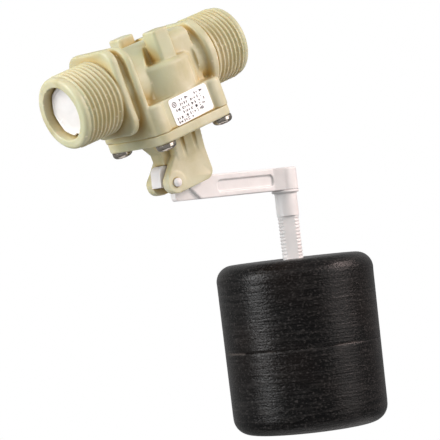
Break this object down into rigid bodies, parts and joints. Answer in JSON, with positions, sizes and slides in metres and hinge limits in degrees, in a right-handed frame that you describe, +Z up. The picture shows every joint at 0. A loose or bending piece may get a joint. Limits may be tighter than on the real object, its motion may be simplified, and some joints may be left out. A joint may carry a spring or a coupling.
{
  "type": "float valve",
  "caption": "Pilot-operated diaphragm float valve: moulded body with male threaded ports in line, a hinged lever below, and a hollow float on a threaded stem.",
  "frame": {"origin": "centre of the inlet port's end face", "axes": "+X along the ports, from the inlet to the outlet; +Z up, away from the lever and the float; the label is on the -Y side"},
  "size_m": [0.0982, 0.057, 0.1639],
  "materials": {
    "cream_nylon": "natural glass-filled nylon, satin, soft moulded edges",
    "white_acetal": "white acetal, smooth satin",
    "black_float": "blow-moulded black plastic, semi-gloss with fine streaks round it",
    "plated_steel": "bright plated steel",
    "spring_steel": "stainless spring steel",
    "brass": "turned brass",
    "rubber": "matt black rubber",
    "label_film": "white printed film"
  },
  "bodies": {
    "valve": {"valve_body": "cream_nylon", "inlet_strainer": "white_acetal", "label": "label_film", "cover_bracket": "cream_nylon", "cover_screws": "plated_steel", "pilot_nozzle": "brass", "nozzle_seal": "rubber", "pivot_pin": "white_acetal", "pin_clip": "spring_steel", "diaphragm": "rubber", "main_spring": "spring_steel"},
    "diaphragm_core": {"diaphragm_guide": "white_acetal", "diaphragm_plate": "white_acetal", "guide_screw": "plated_steel", "bleed_jet": "brass"},
    "lever": {"float_lever": "white_acetal", "pilot_pad": "rubber", "threaded_stem": "white_acetal"},
    "float": {"float_upper_shell": "black_float", "float_lower_shell": "black_float", "float_insert": "white_acetal"}
  },
  "joints": [
    {"name": "lever_swing", "type": "hinge", "parent": "valve", "child": "lever", "pos_m": [0.0308, 0, -0.0373], "axis": [0, -1, 0], "range_deg": [0, 16.5]},
    {"name": "diaphragm_lift", "type": "slide", "parent": "valve", "child": "diaphragm_core", "axis": [0, 0, -1], "range_m": [0, 0.0025], "stiffness_N_per_m": 300, "springref_m": -0.004, "deforming": ["diaphragm", "main_spring"]},
    {"name": "float_height", "type": "slide", "parent": "lever", "child": "float", "axis": [-0.2884, 0, -0.9575], "range_m": [-0.006, 0.008]}
  ]
}
